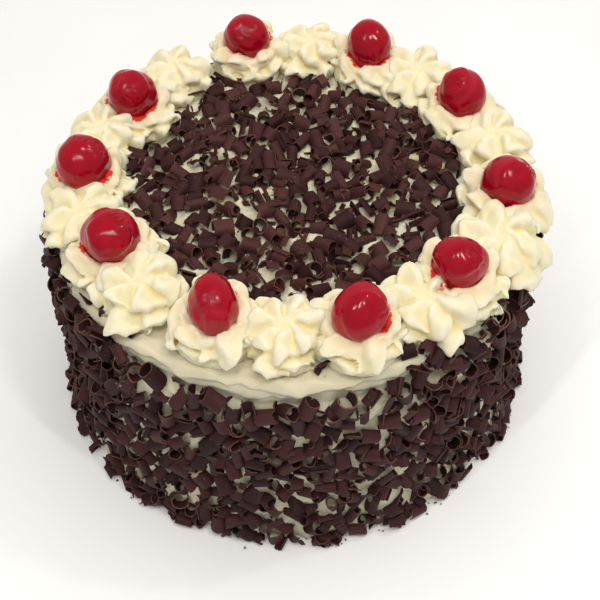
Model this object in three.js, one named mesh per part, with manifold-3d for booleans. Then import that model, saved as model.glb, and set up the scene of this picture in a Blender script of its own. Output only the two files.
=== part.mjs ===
// A whole black forest cake: a round whipped-cream cake rolled in chocolate curls, with a ring of
// piped cream rosettes round its top and a cherry pressed into every second rosette.
// Millimetres, +Z up, origin at the middle of the flat base. The front of the cake faces -Y.
import * as THREE from "three";
import { mergeVertices } from "three/addons/utils/BufferGeometryUtils.js";
import Module from "manifold-3d";

const wasm = await Module();
wasm.setup();

// ------------------------------------------------------------------ driving dimensions
const CAKE_RADIUS = 101.5; // the cream under the curls
const CAKE_HEIGHT = 105;
const EDGE_ROUND = 3; // rounding of the cream's top edge
const FOOT_FLARE = 4.5; // how much wider the cake is at its foot, where the curls lie heaped
const FLARE_HEIGHT = 60;
const GAP = 0.3; // left between pieces that touch

const ROSETTE_SQUEEZE = 0.96; // how much narrower a rosette is between its neighbours
const ROSETTE_HEIGHT = 17;
const ROSETTE_RIDGES = 7;
const RIDGE_DEPTH = 0.16; // share of the radius that a valley lies inside its ridge
const VALLEY_SINK = 0.2; // share of the height that a valley lies below its ridge
const ROSETTE_TWIST = 0.8; // radians that a ridge swirls from its lip to the middle

const CHERRY_LIFT = 18.8; // a cherry's middle above the cake's top

const CURL_RADIUS = 3.2; // of the rolled chocolate
const CURL_LENGTH = 8.6;
const CURL_THICKNESS = 0.9;
const COAT_DEPTH = 3.2; // highest crag of the chocolate coat, under the curls that stand out of it
const CRAG_SIZE = 9.2; // spacing of the crags
const SIDE_CURLS = 71;
const TOP_CURLS = 28;
const TOP_BED_RADIUS = 60;

// Where the cream is left bare below the rosettes, at the front of the cake's side.
const BARE_BAND = { fromDegrees: 236, toDegrees: 292, height: 5 };

// The ring of rosettes as it was piped by hand, anticlockwise from +X. Each one's direction in
// degrees, its distance from the cake's axis and its radius out to the ridges' lips, and the width
// of its cherry if it has one.
const RING = [
  [14.4, 93.5, 20],
  [30.3, 89, 21.5, 22],
  [49.2, 90.5, 21.5],
  [65.1, 89.2, 20.5, 21],
  [83.3, 92.5, 19.5],
  [102.4, 91.5, 19.5, 22.8],
  [125.5, 92.5, 19.5],
  [145.7, 85.2, 20.5, 23],
  [158.5, 89, 18.5],
  [177.3, 87.1, 20.5, 22.8],
  [191.4, 86.5, 19],
  [208.6, 82, 20.5, 24],
  [224.1, 82.5, 20.5],
  [248, 80.8, 20, 19.8],
  [267.9, 80, 20],
  [286.8, 83.2, 20, 22.3],
  [305, 85, 20],
  [319, 84.9, 20.5, 23],
  [337.3, 91, 22],
  [352.5, 90, 22.5, 23.4],
];

const CREAM = new THREE.MeshStandardMaterial({ color: 0xf4ecc8, roughness: 0.55, metalness: 0 });
const CHERRY = new THREE.MeshStandardMaterial({ color: 0xa80c1e, roughness: 0.15, metalness: 0 });
const CHOCOLATE = new THREE.MeshStandardMaterial({ color: 0x3a2622, roughness: 0.6, metalness: 0 });

// ------------------------------------------------------------------ helpers

// A seeded random number from low to high.
let seed = 21;
function random(low, high) {
  seed = (seed + 0x6d2b79f5) | 0;
  let bits = Math.imul(seed ^ (seed >>> 15), 1 | seed);
  bits = (bits + Math.imul(bits ^ (bits >>> 7), 61 | bits)) ^ bits;
  const share = ((bits ^ (bits >>> 14)) >>> 0) / 4294967296;
  return low + (high - low) * share;
}

// A closed geometry as a solid that can be joined and cut.
function solidOf(geometry) {
  const bare = geometry.clone().deleteAttribute("normal").deleteAttribute("uv");
  const merged = mergeVertices(bare, 1e-4);
  return new wasm.Manifold(
    new wasm.Mesh({
      numProp: 3,
      vertProperties: new Float32Array(merged.attributes.position.array),
      triVerts: new Uint32Array(merged.index.array),
    }),
  );
}

function geometryOf(solid) {
  const { vertProperties, triVerts } = solid.getMesh();
  return new THREE.BufferGeometry()
    .setAttribute("position", new THREE.BufferAttribute(vertProperties, 3))
    .setIndex(new THREE.BufferAttribute(triVerts, 1));
}

// The largest closed body of a solid, without loose scraps and with sealed hollows filled.
function wholeOf(solid) {
  const bodies = solid.decompose();
  return bodies.reduce((best, body) => (body.volume() > best.volume() ? body : best));
}

function meshOf(name, solid, material) {
  const mesh = new THREE.Mesh(geometryOf(wholeOf(solid)), material);
  mesh.name = name;
  return mesh;
}

// A lathed form about Z whose points are each moved by move(point, column, row).
function lathed(profile, columns, move) {
  const points = profile.map(([radius, height]) => new THREE.Vector2(radius, height));
  const geometry = new THREE.LatheGeometry(points, columns).rotateX(Math.PI / 2);
  const position = geometry.attributes.position;
  const point = new THREE.Vector3();
  for (let i = 0; i < position.count; i++) {
    const row = i % profile.length;
    const column = Math.floor(i / profile.length) % columns;
    point.fromBufferAttribute(position, i);
    move(point, column, row);
    position.setXYZ(i, point.x, point.y, point.z);
  }
  return geometry;
}

function turned(point, angle) {
  return point.applyAxisAngle(new THREE.Vector3(0, 0, 1), angle);
}

// ------------------------------------------------------------------ chocolate curls

// A shaving rolled into an open C, its axis along Z and its open side towards -Y.
function curlGeometry(radius, length, openShare, sides) {
  const start = -Math.PI / 2 + openShare * Math.PI;
  const sweep = 2 * Math.PI * (1 - openShare);
  const at = (r, i) => {
    const angle = start + (sweep * i) / sides;
    return new THREE.Vector2(r * Math.cos(angle), r * Math.sin(angle));
  };
  const steps = [...Array(sides + 1).keys()];
  const outer = steps.map((i) => at(radius, i));
  const inner = steps.map((i) => at(radius - CURL_THICKNESS, i)).reverse();
  const options = { depth: length, steps: 1, bevelEnabled: false };
  const shape = new THREE.Shape([...outer, ...inner]);
  return new THREE.ExtrudeGeometry(shape, options).translate(0, 0, -length / 2);
}

// A curl lying on a surface: at is its middle, out points away from the surface, along is its axis.
function curlAt(at, out, along) {
  const radius = CURL_RADIUS * random(0.85, 1.15);
  const length = CURL_LENGTH * random(0.75, 1.1);
  const openShare = random(0.2, 0.34);
  const geometry = curlGeometry(radius, length, openShare, 3).rotateZ(random(-2.4, 2.4));
  const across = new THREE.Vector3().crossVectors(out, along).normalize();
  const place = new THREE.Matrix4().makeBasis(across, out, along).setPosition(at);
  return solidOf(geometry.applyMatrix4(place));
}

// How much wider than at its top the cake is at a height.
function flareAt(height) {
  const share = Math.max(0, 1 - height / FLARE_HEIGHT);
  return FOOT_FLARE * share * share;
}

// Curls spread evenly round the cake's side, each turned its own way.
function sideCurls() {
  const golden = 0.618034;
  const low = 5;
  return [...Array(SIDE_CURLS).keys()].map((i) => {
    const angle = (2 * Math.PI * i) / SIDE_CURLS;
    const high = coatTop(angle) - CURL_LENGTH / 2;
    const height = low + (high - low) * ((i * golden) % 1);
    const out = turned(new THREE.Vector3(1, 0, 0), angle);
    const tilt = random(-Math.PI / 2, Math.PI / 2);
    const along = new THREE.Vector3(0, 0, 1).applyAxisAngle(out, tilt);
    const distance = CAKE_RADIUS + flareAt(height) + CURL_RADIUS * random(0.95, 1.15);
    const at = out.clone().multiplyScalar(distance);
    at.z = height;
    return curlAt(at, out, along);
  });
}

// Curls spread over the top inside the rosettes, as seeds are in a sunflower.
function topCurls() {
  const goldenAngle = Math.PI * (3 - Math.sqrt(5));
  return [...Array(TOP_CURLS).keys()].map((i) => {
    const radius = (TOP_BED_RADIUS - CURL_LENGTH / 2) * Math.sqrt((i + 0.5) / TOP_CURLS);
    const at = turned(new THREE.Vector3(radius, 0, 0), i * goldenAngle);
    at.z = CAKE_HEIGHT + CURL_RADIUS * random(0.9, 1.1);
    const along = turned(new THREE.Vector3(1, 0, 0), random(0, Math.PI));
    return curlAt(at, new THREE.Vector3(0, 0, 1), along);
  });
}

// ------------------------------------------------------------------ the cake

// How high the chocolate reaches on the cake's side.
function coatTop(angle) {
  const degrees = THREE.MathUtils.euclideanModulo(THREE.MathUtils.radToDeg(angle), 360);
  const bare = degrees > BARE_BAND.fromDegrees && degrees < BARE_BAND.toDegrees;
  return CAKE_HEIGHT - (bare ? BARE_BAND.height : 2);
}

// The cream cylinder with the craggy coat of chocolate on its side.
function coatedCylinder() {
  const columns = Math.round((2 * Math.PI * CAKE_RADIUS) / CRAG_SIZE);
  const sideTop = CAKE_HEIGHT - EDGE_ROUND;
  const rows = Math.round(sideTop / CRAG_SIZE);
  const side = [...Array(rows + 1).keys()].map((row) => {
    const height = (sideTop * row) / rows;
    return [CAKE_RADIUS + flareAt(height), height];
  });
  const profile = [[0, 0], ...side, [CAKE_RADIUS - EDGE_ROUND, CAKE_HEIGHT], [0, CAKE_HEIGHT]];
  const crags = side.map((_, row) =>
    [...Array(columns).keys()].map(() => ({
      out: random(1, COAT_DEPTH),
      up: row === 0 || row === rows ? 0 : random(-0.25, 0.25) * CRAG_SIZE,
      turn: ((random(-0.25, 0.25) + (row % 2) / 2) * 2 * Math.PI) / columns,
    })),
  );
  return lathed(profile, columns, (point, column, row) => {
    const crag = crags[row - 1]?.[column];
    if (!crag) return;
    turned(point, crag.turn);
    point.z += crag.up;
    const bare = point.z > coatTop(Math.atan2(point.y, point.x)) - CRAG_SIZE / 2;
    const spread = 1 + (bare ? 0.2 : crag.out) / CAKE_RADIUS;
    point.x *= spread;
    point.y *= spread;
  });
}

// The shallow bed of chocolate on the top, its rim just under the cream.
function topBed() {
  const columns = 26;
  const rings = 6;
  const sunk = 1;
  const rim = [
    [0, CAKE_HEIGHT - 3 * sunk],
    [TOP_BED_RADIUS, CAKE_HEIGHT - 3 * sunk],
    [TOP_BED_RADIUS, CAKE_HEIGHT - sunk],
  ];
  const inner = [...Array(rings).keys()].map((ring) => [
    TOP_BED_RADIUS * (1 - (ring + 1) / (rings + 0.6)),
    CAKE_HEIGHT,
  ]);
  const profile = [...rim, ...inner, [0, CAKE_HEIGHT + COAT_DEPTH / 2]];
  const crags = inner.map(() => [...Array(columns).keys()].map(() => random(0.3, 0.8) * COAT_DEPTH));
  return lathed(profile, columns, (point, column, row) => {
    const ring = row - rim.length;
    if (ring >= 0 && ring < rings) point.z += crags[ring][column];
  });
}

function cakeSolid() {
  const cake = solidOf(coatedCylinder()).add(solidOf(topBed()));
  return [...sideCurls(), ...topCurls()].reduce((whole, curl) => whole.add(curl), cake);
}

// ------------------------------------------------------------------ rosettes and cherries

// A swirled star of cream standing at the origin, its long side along X. The ridges rise from a
// dimpled middle, bulge out into lips and overhang the skirt below them.
function rosetteGeometry(radius, height, turn) {
  const skirtRow = 2;
  const tiers = [
    [0, 0],
    [0.9, 0],
    [0.86, 0.34],
    [1, 0.56],
    [0.78, 0.87],
    [0.32, 0.95],
    [0, 0.8],
  ];
  const middleRow = tiers.length - 1;
  const profile = tiers.map(([out, up]) => [out * radius, up * height]);
  const columns = 2 * ROSETTE_RIDGES;
  return lathed(profile, columns, (point, column, row) => {
    if (column % 2) {
      point.x *= 1 - RIDGE_DEPTH;
      point.y *= 1 - RIDGE_DEPTH;
      if (row > skirtRow && row < middleRow) point.z *= 1 - VALLEY_SINK;
    }
    turned(point, turn + ROSETTE_TWIST * (1 - tiers[row][0]));
    point.y *= ROSETTE_SQUEEZE;
  });
}

// The slice of the cake's top that belongs to one rosette, between the middles of its two gaps.
function slice(from, to) {
  const half = (to - from) / 2;
  const middle = (from + to) / 2;
  const apex = GAP / 2 / Math.sin(half);
  const far = CAKE_RADIUS * 1.3;
  const outline = [
    [apex, 0],
    [far, -Math.tan(half) * (far - apex)],
    [far, Math.tan(half) * (far - apex)],
  ];
  const shape = new THREE.Shape(outline.map(([x, y]) => new THREE.Vector2(x, y)));
  const options = { depth: 2 * ROSETTE_HEIGHT, steps: 1, bevelEnabled: false };
  const geometry = new THREE.ExtrudeGeometry(shape, options);
  return solidOf(geometry.rotateZ(middle).translate(0, 0, CAKE_HEIGHT - GAP));
}

// A pitted cherry: a plump ball, a little longer than wide, with a dimple where its stem was.
function cherryGeometry(radius) {
  const geometry = new THREE.SphereGeometry(radius, 10, 7).rotateX(Math.PI / 2);
  const position = geometry.attributes.position;
  for (let i = 0; i < position.count; i++) {
    const x = position.getX(i);
    const y = position.getY(i);
    const z = position.getZ(i);
    const nearStem = Math.max(0, z / radius - 0.85) / 0.15;
    position.setXYZ(i, x, y * 0.95, z * (1.03 - 0.22 * nearStem));
  }
  return geometry;
}

// A point of the ring, in the direction angle and at a height above the cake's top.
function ringPoint(angle, distance, height) {
  return turned(new THREE.Vector3(distance, 0, CAKE_HEIGHT + height), angle);
}

// A cherry and the slightly larger hollow that the rosette below it keeps clear.
function placedCherry(angle, distance, radius) {
  const lean = new THREE.Euler(random(-1.1, 1.1), random(-1.1, 1.1), random(0, 3));
  const place = new THREE.Matrix4()
    .makeRotationFromEuler(lean)
    .setPosition(ringPoint(angle, distance, CHERRY_LIFT));
  const grown = (radius + GAP * 1.5) / radius;
  return {
    body: solidOf(cherryGeometry(radius).applyMatrix4(place)),
    seat: solidOf(cherryGeometry(radius).scale(grown, grown, grown).applyMatrix4(place)),
  };
}

function placedRosette(angle, distance, radius, from, to) {
  const geometry = rosetteGeometry(radius, ROSETTE_HEIGHT * random(0.95, 1.04), random(0, 1));
  const place = new THREE.Matrix4()
    .makeRotationZ(angle)
    .setPosition(ringPoint(angle, distance, GAP));
  return solidOf(geometry.applyMatrix4(place)).intersect(slice(from, to));
}

// ------------------------------------------------------------------ assembly
const cake = new THREE.Group();
cake.add(meshOf("cake", cakeSolid(), CHOCOLATE));

const cherries = RING.map(([degrees, distance, , cherryWidth]) =>
  cherryWidth ? placedCherry(THREE.MathUtils.degToRad(degrees), distance, cherryWidth / 2) : null,
);
const count = RING.length;
RING.forEach(([degrees, distance, radius], i) => {
  const before = RING[(i + count - 1) % count][0] - (i === 0 ? 360 : 0);
  const after = RING[(i + 1) % count][0] + (i === count - 1 ? 360 : 0);
  const [angle, from, to] = [degrees, (before + degrees) / 2, (degrees + after) / 2].map(
    THREE.MathUtils.degToRad,
  );
  const near = [i + count - 1, i, i + 1].map((j) => cherries[j % count]).filter(Boolean);
  const piped = placedRosette(angle, distance, radius, from, to);
  const rosette = near.reduce((kept, cherry) => kept.subtract(cherry.seat), piped);
  const number = String(i + 1).padStart(2, "0");
  if (cherries[i]) cake.add(meshOf(`cherry_${number}`, cherries[i].body, CHERRY));
  cake.add(meshOf(`rosette_${number}`, rosette, CREAM));
});

export default cake;
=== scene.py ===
"""A black forest cake: whipped cream under rolled chocolate shavings, piped rosettes and cherries."""
import math
from collections import namedtuple

import bpy
import numpy as np
from mathutils import Matrix, Vector, kdtree


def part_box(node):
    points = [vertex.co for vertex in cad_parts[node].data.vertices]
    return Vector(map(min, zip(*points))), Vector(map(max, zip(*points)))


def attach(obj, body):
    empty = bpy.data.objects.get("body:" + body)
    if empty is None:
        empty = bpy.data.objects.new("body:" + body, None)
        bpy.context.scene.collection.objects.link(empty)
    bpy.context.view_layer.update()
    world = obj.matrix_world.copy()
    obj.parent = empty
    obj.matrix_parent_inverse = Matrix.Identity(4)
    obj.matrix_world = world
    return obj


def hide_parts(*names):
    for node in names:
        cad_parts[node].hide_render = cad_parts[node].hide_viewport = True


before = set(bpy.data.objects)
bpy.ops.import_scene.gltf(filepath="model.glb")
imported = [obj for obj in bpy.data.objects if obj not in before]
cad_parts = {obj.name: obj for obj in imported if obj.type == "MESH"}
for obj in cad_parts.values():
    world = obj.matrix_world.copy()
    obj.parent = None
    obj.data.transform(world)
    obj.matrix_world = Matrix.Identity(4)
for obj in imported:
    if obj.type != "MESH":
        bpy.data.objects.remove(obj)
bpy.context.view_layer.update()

# ---------- sizes, in metres
MM = 0.001
WHOLE_TURN = 2 * math.pi
SOLID_GAP = 0.3 * MM            # what the solids keep between a rosette and the cake
CREAM_RADIUS = 101.5 * MM       # the cream under the chocolate
COAT_RADIUS = 108.2 * MM        # how far out the chocolate reaches
CAKE_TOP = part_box("rosette_01")[0][2] - SOLID_GAP
EDGE_ROUND = 5 * MM
FOOT_FLARE = 4.5 * MM           # how much wider the cake is at its foot
FLARE_HEIGHT = 60 * MM
FOOT_RADIUS = 114.5 * MM        # how far out curls lie on the ground
TOP_BED_RADIUS = 75 * MM        # the chocolate on the top, up to the rosettes
BED_MIDDLE = np.array([1.5, 5.0, 0.0]) * MM     # the ring was piped a little to the back

# How high the chocolate reaches on the side: direction in degrees, mm above the cake's top.
COAT_EDGE = [(0, 0.5), (196, 0.5), (210, 1.5), (230, 1.5), (241, -4.0), (272, -4.5), (282, -2.0),
             (291, 0.5), (299, 3.0), (312, 3.0), (322, 0.5), (360, 0.5)]
# Curls that fell on the ledge in front of the rosettes, and in the widest gap between those at the
# back: direction in degrees, mm from the axis.
LEDGE_CURLS = [(109, 80), (113, 84), (116, 79), (120, 82), (124, 77), (206, 99), (214, 98), (220, 96),
               (229, 95), (277, 94), (296, 96), (301, 98), (322, 101), (331, 101)]

# How far each rosette reaches along the cake's radius, in mm.
ROSETTE_REACH = [20, 21.5, 21.5, 20.5, 19.5, 19.5, 19.5, 20.5, 18.5, 20.5,
                 19, 20.5, 20.5, 20, 20, 20, 20, 20.5, 22, 22.5]
ROSETTE_NARROW = 0.97           # between its neighbours
DROOP_FROM = 96.5 * MM          # beyond this the cream hangs over the cake's edge
DROOP = 0.025                   # mm for each square mm beyond
FORWARD_TILT = 0.12             # how much lower the rosettes' front petals lie
TILT_HEIGHT = 14 * MM           # above the cake's top, where they lean by all of it
CREAM_CELL = 0.55 * MM          # the finest detail of the piped cream

CURL_LENGTH = 7.8 * MM
CURL_RADIUS = 3.3 * MM
SHEET_THICKNESS = 0.45 * MM
SIDE_CURLS, TOP_CURLS, FOOT_CURLS = 1070, 288, 150
SIDE_FLAKES, TOP_FLAKES, FOOT_CRUMBS = 1000, 460, 110
# The kinds of shaving: its share of all, its length and radius beside a curl's, how far it is rolled
# up (radians), the share of its radius that keeps others off and that stays inside the coat, and
# the quads round it.
Kind = namedtuple("Kind", "name share length radius sweep solid depth across")
KINDS = [Kind("rolls", 0.74, 1.0, 0.93, (5.4, 8.2), 0.82, 0.95, 18),
         Kind("open_curls", 0.22, 0.92, 1.08, (3.4, 5.2), 0.75, 0.9, 14),
         Kind("shards", 0.04, 0.8, 1.3, (1.4, 2.4), 0.35, 0.5, 8)]

# Seeds of the random draws. A rosette's or a cherry's number is added to its own.
SEEDS = {"body_lumps": 1, "body_pits": 2, "body_dents": 8, "body_edge": 9, "side": 21, "top": 22,
         "small": 41, "side_flakes": 42, "top_flakes": 43, "foot_crumbs": 44, "ledge_curls": 51,
         "foot_curls": 52, "rosette": 100, "torn": 300, "lumps": 500, "streaks": 600, "patches": 640,
         "plump": 720, "fold": 740, "dent": 750, "wrinkled": 760, "wrinkles": 780, "pucker": 790}


# ---------- small tools

def make_object(name, verts, faces, materials, uvs=None, values=None, face_slots=None):
    """A smooth mesh object from arrays. values is {attribute name: one number per vertex}."""
    mesh = bpy.data.meshes.new(name)
    mesh.from_pydata(np.asarray(verts).tolist(), [], faces)
    mesh.polygons.foreach_set("use_smooth", [True] * len(mesh.polygons))
    for material in materials:
        mesh.materials.append(material)
    if face_slots is not None:
        mesh.polygons.foreach_set("material_index", np.asarray(face_slots, dtype=np.int32))
    if uvs is not None:
        corner_vertex = np.empty(len(mesh.loops), dtype=np.int32)
        mesh.loops.foreach_get("vertex_index", corner_vertex)
        layer = mesh.uv_layers.new(name="UVMap")
        layer.uv.foreach_set("vector", np.asarray(uvs)[corner_vertex].ravel())
    for key, numbers in (values or {}).items():
        attribute = mesh.attributes.new(key, "FLOAT", "POINT")
        attribute.data.foreach_set("value", np.asarray(numbers, dtype=np.float32))
    mesh.validate()
    mesh.update()
    obj = bpy.data.objects.new(name, mesh)
    bpy.context.collection.objects.link(obj)
    return obj


def grid_faces(rows, columns, first=0, closed=True):
    """Quads of a grid of rows x columns points, joined round each row if it is closed."""
    row = np.arange(rows - 1)[:, None]
    column = np.arange(columns if closed else columns - 1)[None, :]
    after = (column + 1) % columns
    corners = [row * columns + column, row * columns + after,
               (row + 1) * columns + after, (row + 1) * columns + column]
    return first + np.stack([c.ravel() for c in np.broadcast_arrays(*corners)], axis=1)


def tube_faces(rows, around, inside_out=False):
    """Faces of a grid that is joined round each row and capped at both ends."""
    faces = grid_faces(rows, around).tolist()
    faces.append(list(range(around))[::-1])
    faces.append([(rows - 1) * around + i for i in range(around)])
    return [face[::-1] for face in faces] if inside_out else faces


def smooth_path(points, count):
    """count points along a Catmull-Rom curve through the given ones."""
    p = np.asarray(points, dtype=float)
    p = np.vstack([2 * p[0] - p[1], p, 2 * p[-1] - p[-2]])
    t = np.linspace(0, len(points) - 1, count)
    i = np.minimum(t.astype(int), len(points) - 2)
    f = (t - i)[:, None]
    a, b, c, d = p[i], p[i + 1], p[i + 2], p[i + 3]
    return 0.5 * (2 * b + (c - a) * f + (2 * a - 5 * b + 4 * c - d) * f**2
                  + (3 * b - a - 3 * c + d) * f**3)


def waves(points, size, seed, octaves=3):
    """Smooth uneven numbers from about -1 to 1 at each point, with features of about that size."""
    directions, level = 5, 0.42
    rng = np.random.default_rng(seed)
    total = np.zeros(points.shape[:-1])
    strength = 1.0
    for _ in range(octaves):
        for _ in range(directions):
            direction = rng.normal(size=points.shape[-1])
            direction *= WHOLE_TURN / (size * np.linalg.norm(direction)) * rng.uniform(0.6, 1.3)
            total += level * strength * np.sin(points @ direction + rng.uniform(0, WHOLE_TURN))
        size *= 0.5
        strength *= 0.5
    return total


def ease(low, high, x):
    """From 0 at low to 1 at high, smoothly."""
    t = np.clip((x - low) / (high - low), 0, 1)
    return t * t * (3 - 2 * t)


def bell(x, width):
    """1 where x is 0, falling away to both sides."""
    return np.exp(-((x / width) ** 2))


def unit(v):
    """Vectors scaled to a length of 1."""
    return v / np.linalg.norm(v, axis=-1, keepdims=True)


def at_angle(angle, distance, height):
    """The points in a direction from the axis, at a distance from it and a height."""
    return np.stack(np.broadcast_arrays(distance * np.cos(angle), distance * np.sin(angle), height), axis=-1)


def straight_up(count):
    return np.tile([0.0, 0.0, 1.0], (count, 1))


def part_of_cake(obj, slot, *nodes):
    """Makes an object a piece of the cake that stands for solids. The slot, for its material, is not used.
    """
    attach(obj, "root")
    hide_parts(*nodes)


# ---------- the photograph's view

# From the front, half above the cake: how steeply the camera looks down, how far it stands to the
# right and how far it leans over clockwise, in degrees.
LOOKS_DOWN, STANDS_RIGHT, LEANS = np.radians([50.077, -0.927, 0.413])
CAMERA_PLACE = np.array([-2.15, -328.47, 428.34]) * MM
LENS, SENSOR = 63.88, 36        # mm
VIEW_BACK = at_angle(STANDS_RIGHT - math.pi / 2, math.cos(LOOKS_DOWN), math.sin(LOOKS_DOWN))
LEVEL_RIGHT = unit(np.cross([0, 0, 1], VIEW_BACK))
VIEW_RIGHT = math.cos(LEANS) * LEVEL_RIGHT - math.sin(LEANS) * np.cross(VIEW_BACK, LEVEL_RIGHT)
VIEW_UP = np.cross(VIEW_BACK, VIEW_RIGHT)


def camera():
    """A camera where the photograph's was."""
    data = bpy.data.cameras.new("camera")
    data.lens, data.sensor_width = LENS, SENSOR
    data.clip_start, data.clip_end = 0.01, 20
    place = Matrix((VIEW_RIGHT, VIEW_UP, VIEW_BACK)).transposed().to_4x4()
    place.translation = CAMERA_PLACE
    obj = bpy.data.objects.new("camera", data)
    obj.matrix_world = place
    bpy.context.collection.objects.link(obj)
    bpy.context.scene.camera = obj


# ---------- materials

class Nodes:
    """A short way to build a material's node tree."""

    def __init__(self, name):
        self.material = bpy.data.materials.new(name)
        self.material.use_nodes = True
        self.tree = self.material.node_tree
        self.shader = self.tree.nodes["Principled BSDF"]

    def feed(self, node, inputs):
        """Links or sets a node's inputs, given by name or number."""
        for key, value in inputs.items():
            socket = node.inputs[key]
            if hasattr(value, "is_linked"):
                self.tree.links.new(value, socket)
            else:
                socket.default_value = (*value, 1) if socket.type == "RGBA" else value
        return node

    def add(self, kind, inputs, **settings):
        node = self.tree.nodes.new(kind)
        for key, value in settings.items():
            setattr(node, key, value)
        return self.feed(node, inputs)

    def noise(self, where, scale, detail=3.0, roughness=0.5):
        inputs = {"Vector": where, "Scale": scale, "Detail": detail, "Roughness": roughness}
        return self.add("ShaderNodeTexNoise", inputs).outputs["Fac"]

    def ramp(self, value, low, high, first=0.0, last=1.0):
        inputs = {"Value": value, "From Min": low, "From Max": high, "To Min": first, "To Max": last}
        return self.add("ShaderNodeMapRange", inputs).outputs["Result"]

    def math(self, operation, a, b):
        return self.add("ShaderNodeMath", {0: a, 1: b}, operation=operation).outputs[0]

    def mix(self, factor, first, second):
        inputs = {"Factor": factor, 6: first, 7: second}
        return self.add("ShaderNodeMix", inputs, data_type="RGBA").outputs[2]

    def bump(self, height, strength, distance, before=None):
        inputs = {"Height": height, "Strength": strength, "Distance": distance}
        if before:
            inputs["Normal"] = before
        return self.add("ShaderNodeBump", inputs).outputs["Normal"]

    def place(self, kind="Object"):
        return self.add("ShaderNodeTexCoord", {}).outputs[kind]

    def stretched(self, where, scale):
        return self.add("ShaderNodeMapping", {"Vector": where, "Scale": scale}).outputs["Vector"]

    def number(self, name):
        return self.add("ShaderNodeAttribute", {}, attribute_name=name).outputs["Fac"]

    def set(self, **inputs):
        self.feed(self.shader, {key.replace("_", " "): value for key, value in inputs.items()})
        return self.material


CREST_COLOUR = (0.81, 0.775, 0.64)      # where piped cream is thin and catches the light
PAINTED_CREASE_GLOW = (0.90, 0.74, 0.32)      # painted glow of light bounced and scattered into the creases between its folds
JUICE_COLOUR = (0.66, 0.035, 0.016)
BLUSH_COLOUR = (0.88, 0.50, 0.30)       # cream that faces a cherry
SPECK_COLOUR = (0.30, 0.22, 0.18)
CHERRY_COLOURS = [(0.28, 0.0, 0.008), (0.37, 0.001, 0.014)]
PAINTED_FOLD_GLOW = (0.42, 0.012, 0.030)      # painted glow of light shining through the thin skin along a cherry's folds


def cream_material(name, light, deep, piped):
    """Whipped cream: soft, a little translucent, with the fine pits of its bubbles."""
    n = Nodes(name)
    where = n.place()
    colour = n.mix(n.ramp(n.noise(where, 60), 0.35, 0.65), light, deep)
    if piped:
        colour = n.mix(n.ramp(n.number("crest"), 0, 1, 0, 0.8), colour, CREST_COLOUR)
        # painted glow: the creases are tinted deep yellow for light that bounces about and shines through
        # the cream
        colour = n.mix(n.ramp(n.number("crease"), 0, 1, 0, 0.7), colour, PAINTED_CREASE_GLOW)
        patchy = n.ramp(n.noise(where, 520, 4), 0.28, 0.62, 0.1, 1.6)
        ragged = n.math("MULTIPLY", n.number("juice"), patchy)
        colour = n.mix(n.ramp(n.number("blush"), 0, 1, 0, 0.4), colour, BLUSH_COLOUR)
        colour = n.mix(n.ramp(ragged, 0.25, 0.6), colour, JUICE_COLOUR)
    pits = n.bump(n.noise(where, 2600, 4), 0.08, 0.25 * MM)
    soft = n.bump(n.noise(where, 420, 3), 0.12, 0.5 * MM, pits)
    return n.set(
        Base_Color=colour, Roughness=0.6, Normal=soft, Subsurface_Weight=0.8,
        Subsurface_Radius=(1.0, 0.8, 0.45), Subsurface_Scale=2.2 * MM, Specular_IOR_Level=0.25)


def chocolate_material(name, dark, light):
    """Shaved dark chocolate: dull, faintly streaked the way it was scraped, with a few specks."""
    n = Nodes(name)
    where = n.place()
    streaks = n.noise(n.stretched(n.place("UV"), (3.0, 40.0, 1.0)), 1.0, 4, 0.6)
    cloudy = n.noise(where, 260, 4)
    tone = n.math("ADD", n.math("MULTIPLY", n.number("shade"), 0.6), n.math("MULTIPLY", cloudy, 0.4))
    colour = n.mix(n.ramp(tone, 0.15, 0.85), dark, light)
    colour = n.mix(n.ramp(n.noise(where, 1500, 2), 0.735, 0.76), colour, SPECK_COLOUR)
    roughness = n.ramp(streaks, 0.3, 0.7, 0.52, 0.70)
    shaved = n.bump(streaks, 0.25, 0.15 * MM)
    grain = n.bump(n.noise(where, 3200, 3), 0.12, 0.12 * MM, shaved)
    return n.set(Base_Color=colour, Roughness=roughness, Normal=grain, Specular_IOR_Level=0.18)


def cherry_material():
    """Syrup-soaked cherry: deep clear red under a wet skin."""
    n = Nodes("cherry_flesh")
    where = n.place()
    drawn_out = n.stretched(where, (2.2, 1.0, 1.0))
    colour = n.mix(n.ramp(n.noise(where, 170, 4), 0.3, 0.7), *CHERRY_COLOURS)
    # painted glow: lighter red where light shines through the thin skin along the folds
    colour = n.mix(n.ramp(n.number("thin"), 0, 1, 0, 0.5), colour, PAINTED_FOLD_GLOW)
    ripples = n.bump(n.noise(drawn_out, 130, 0), 0.25, 0.9 * MM)
    skin = n.bump(n.noise(drawn_out, 300, 0), 0.10, 0.3 * MM)
    return n.set(
        Base_Color=colour, Roughness=0.35, Normal=ripples, Subsurface_Weight=0.35,
        Subsurface_Radius=(1.0, 0.05, 0.04), Subsurface_Scale=3.0 * MM, Specular_IOR_Level=0.02,
        Coat_Weight=1.0, Coat_Roughness=0.012, Coat_IOR=1.36, Coat_Normal=skin)


ROSETTE_CREAM = cream_material("rosette_cream", (0.79, 0.735, 0.53), (0.79, 0.725, 0.48), True)
BODY_CREAM = cream_material("body_cream", (0.68, 0.635, 0.49), (0.65, 0.60, 0.43), False)
CHOCOLATE = chocolate_material("dark_chocolate", (0.019, 0.0054, 0.0060), (0.061, 0.0200, 0.0192))
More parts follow.
